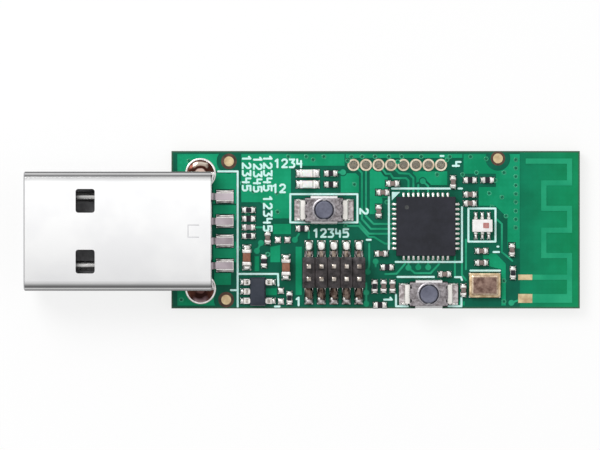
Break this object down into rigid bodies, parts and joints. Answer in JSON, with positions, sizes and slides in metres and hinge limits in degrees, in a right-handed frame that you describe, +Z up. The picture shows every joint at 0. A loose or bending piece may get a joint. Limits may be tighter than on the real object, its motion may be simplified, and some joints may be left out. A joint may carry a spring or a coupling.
{
  "type": "usb radio stick",
  "caption": "Bare circuit-board USB stick for short-range radio: steel plug at one end, folded printed antenna at the other, chip, push switches and pin header between.",
  "frame": {"origin": "under the middle of the whole stick, on the surface it lies on: centre of the overall box in X and Y, its bottom in Z", "axes": "+X from the USB plug towards the antenna end, +Y across the board towards the row of plated holes, +Z up from the board's part side"},
  "size_m": [0.0562, 0.016, 0.0059],
  "materials": {
    "board_laminate": "glass-fibre laminate under green solder mask, satin gloss",
    "masked_copper": "copper under green solder mask, satin gloss",
    "antenna_copper": "copper under green solder mask, satin gloss",
    "gold_plating": "thin gold plating, satin",
    "tin_solder": "reflowed tin solder, bright and uneven",
    "silk_ink": "printed white ink, matt",
    "nickel_steel": "nickel-plated sheet steel, satin",
    "plug_insulator": "moulded thermoplastic, matt black",
    "plug_contact": "plated copper-alloy strip, satin",
    "chip_moulding": "moulded epoxy, matt near-black",
    "switch_moulding": "moulded thermoplastic, matt black",
    "switch_cover_steel": "stamped stainless sheet, satin",
    "switch_dome_steel": "spring steel, satin",
    "plunger_moulding": "moulded thermoplastic, slate grey",
    "header_moulding": "moulded thermoplastic, near-black",
    "header_pin_tin": "tin-plated square wire, satin",
    "regulator_moulding": "moulded epoxy, matt dark grey",
    "crystal_rim": "gold-plated ceramic rim, satin",
    "crystal_cap": "thin metal lid, satin",
    "balun_ceramic": "white glazed ceramic",
    "led_substrate": "thin white laminate",
    "led_moulding": "milky moulded resin",
    "capacitor_ceramic": "fired ceramic, grey-brown",
    "large_capacitor_ceramic": "fired ceramic, warm brown",
    "resistor_glaze": "black glaze on ceramic",
    "ferrite_body": "fired ferrite, grey"
  },
  "bodies": {
    "stick": {"circuit_board": "board_laminate", "io_hole_rings": "gold_plating", "fiducial_dots": "gold_plating", "usb_shell": "nickel_steel", "usb_insulator": "plug_insulator", "usb_power_contacts": "plug_contact", "usb_data_contacts": "plug_contact", "shell_leg_solder": "tin_solder", "shell_leg_lands": "tin_solder", "radio_chip": "chip_moulding", "radio_chip_terminals": "tin_solder", "header_insulator": "header_moulding", "header_pins_lower": "header_pin_tin", "header_pins_upper": "header_pin_tin", "regulator_body": "regulator_moulding", "regulator_leads": "tin_solder", "crystal_base": "crystal_rim", "crystal_lid": "crystal_cap", "balun_body": "balun_ceramic", "balun_terminals": "tin_solder", "led_1_base": "led_substrate", "led_1_lens": "led_moulding", "led_2_base": "led_substrate", "led_2_lens": "led_moulding", "led_terminals": "tin_solder", "usb_line_resistors": "resistor_glaze", "usb_ferrite_bead": "ferrite_body", "pullup_resistors": "resistor_glaze", "usb_filter_capacitor": "capacitor_ceramic", "supply_capacitors": "large_capacitor_ceramic", "regulator_resistors": "resistor_glaze", "led_resistors": "resistor_glaze", "core_capacitors": "capacitor_ceramic", "analog_capacitors": "capacitor_ceramic", "bias_resistor": "resistor_glaze", "supply_ferrite_bead": "resistor_glaze", "filter_capacitors": "capacitor_ceramic", "crystal_load_capacitors": "capacitor_ceramic", "matching_capacitors": "capacitor_ceramic", "matching_inductor": "resistor_glaze", "resistor_terminations": "tin_solder", "capacitor_terminations": "tin_solder", "solder_pads": "tin_solder", "antenna_trace": "antenna_copper", "antenna_feed_pads": "gold_plating", "signal_traces": "masked_copper", "ground_pour": "masked_copper", "silkscreen": "silk_ink", "switch_1_base": "switch_moulding", "switch_1_cover": "switch_cover_steel", "switch_1_dome": "switch_dome_steel", "switch_1_terminals": "tin_solder", "switch_2_base": "switch_moulding", "switch_2_cover": "switch_cover_steel", "switch_2_dome": "switch_dome_steel", "switch_2_terminals": "tin_solder"},
    "button_1": {"switch_1_plunger": "plunger_moulding"},
    "button_2": {"switch_2_plunger": "plunger_moulding"}
  },
  "joints": [
    {"name": "button_1_press", "type": "slide", "parent": "stick", "child": "button_1", "axis": [0, 0, -1], "range_m": [0, 0.0002], "stiffness_N_per_m": 8000},
    {"name": "button_2_press", "type": "slide", "parent": "stick", "child": "button_2", "axis": [0, 0, -1], "range_m": [0, 0.0002], "stiffness_N_per_m": 8000}
  ]
}
